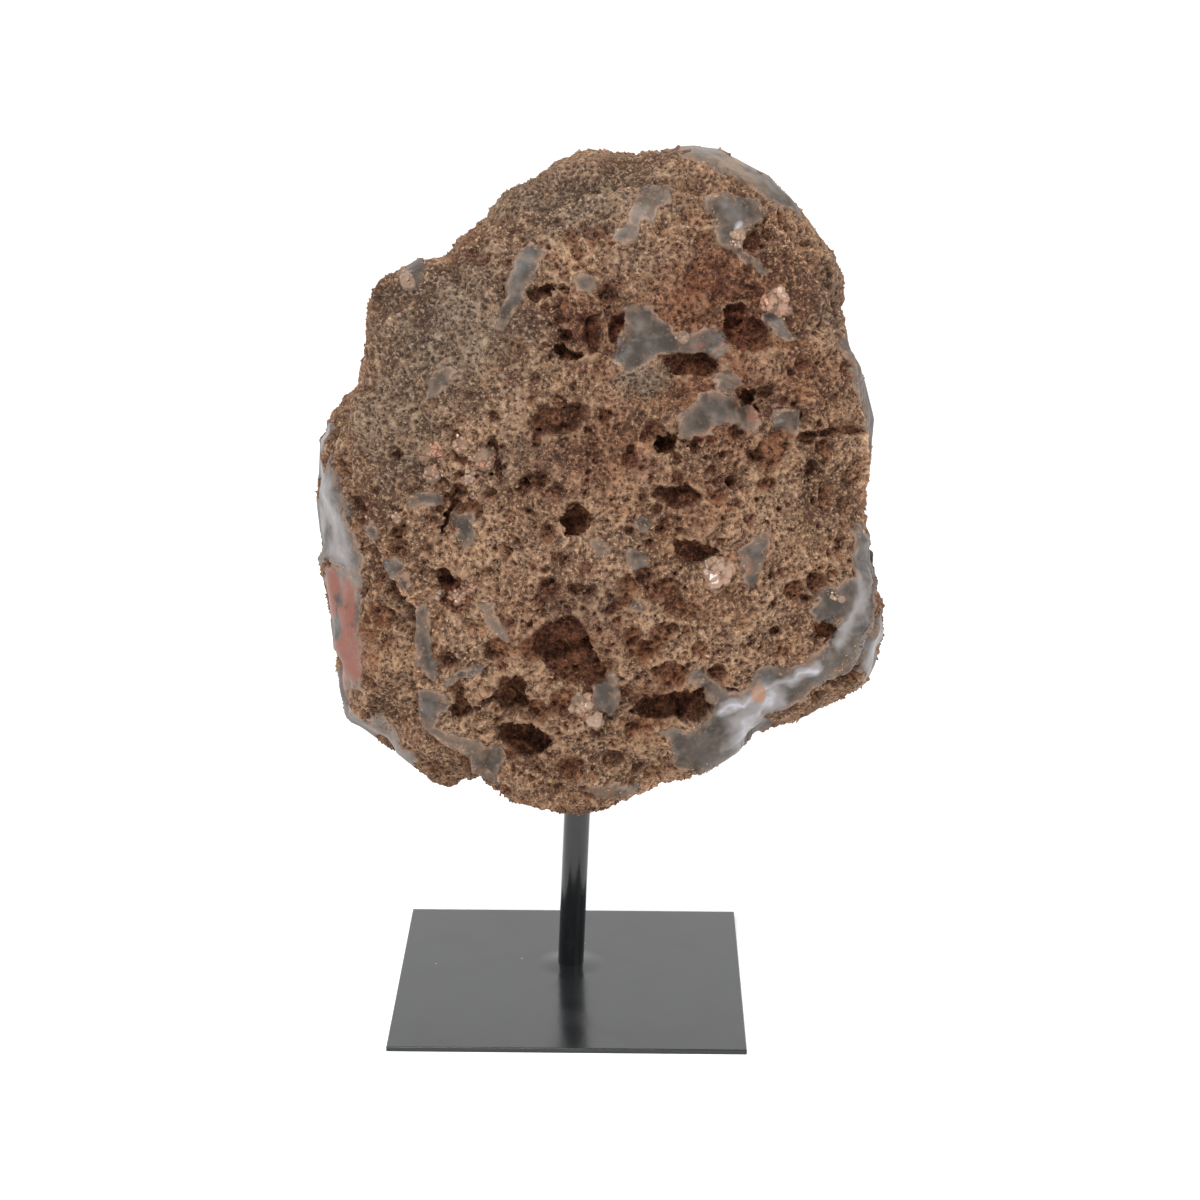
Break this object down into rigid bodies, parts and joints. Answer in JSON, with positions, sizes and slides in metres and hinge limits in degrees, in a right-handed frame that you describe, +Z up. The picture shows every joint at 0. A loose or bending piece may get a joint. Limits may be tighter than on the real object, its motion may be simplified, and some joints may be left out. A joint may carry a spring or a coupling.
{
  "type": "druzy agate on a rod stand",
  "caption": "Rough brown agate nodule with grey chalcedony patches and a crystal-lined hollow, held upright on a black steel rod and square plate.",
  "frame": {"origin": "middle of the base plate's underside", "axes": "+Z up, the rind side of the stone that the picture shows faces -Y, +X to the right of that side"},
  "size_m": [0.1698, 0.1071, 0.256],
  "materials": {
    "agate": "matte",
    "stand_paint": "gloss"
  },
  "bodies": {
    "root": {"agate_stone": "agate", "stand_rod": "stand_paint", "base_plate": "stand_paint"}
  },
  "joints": []
}
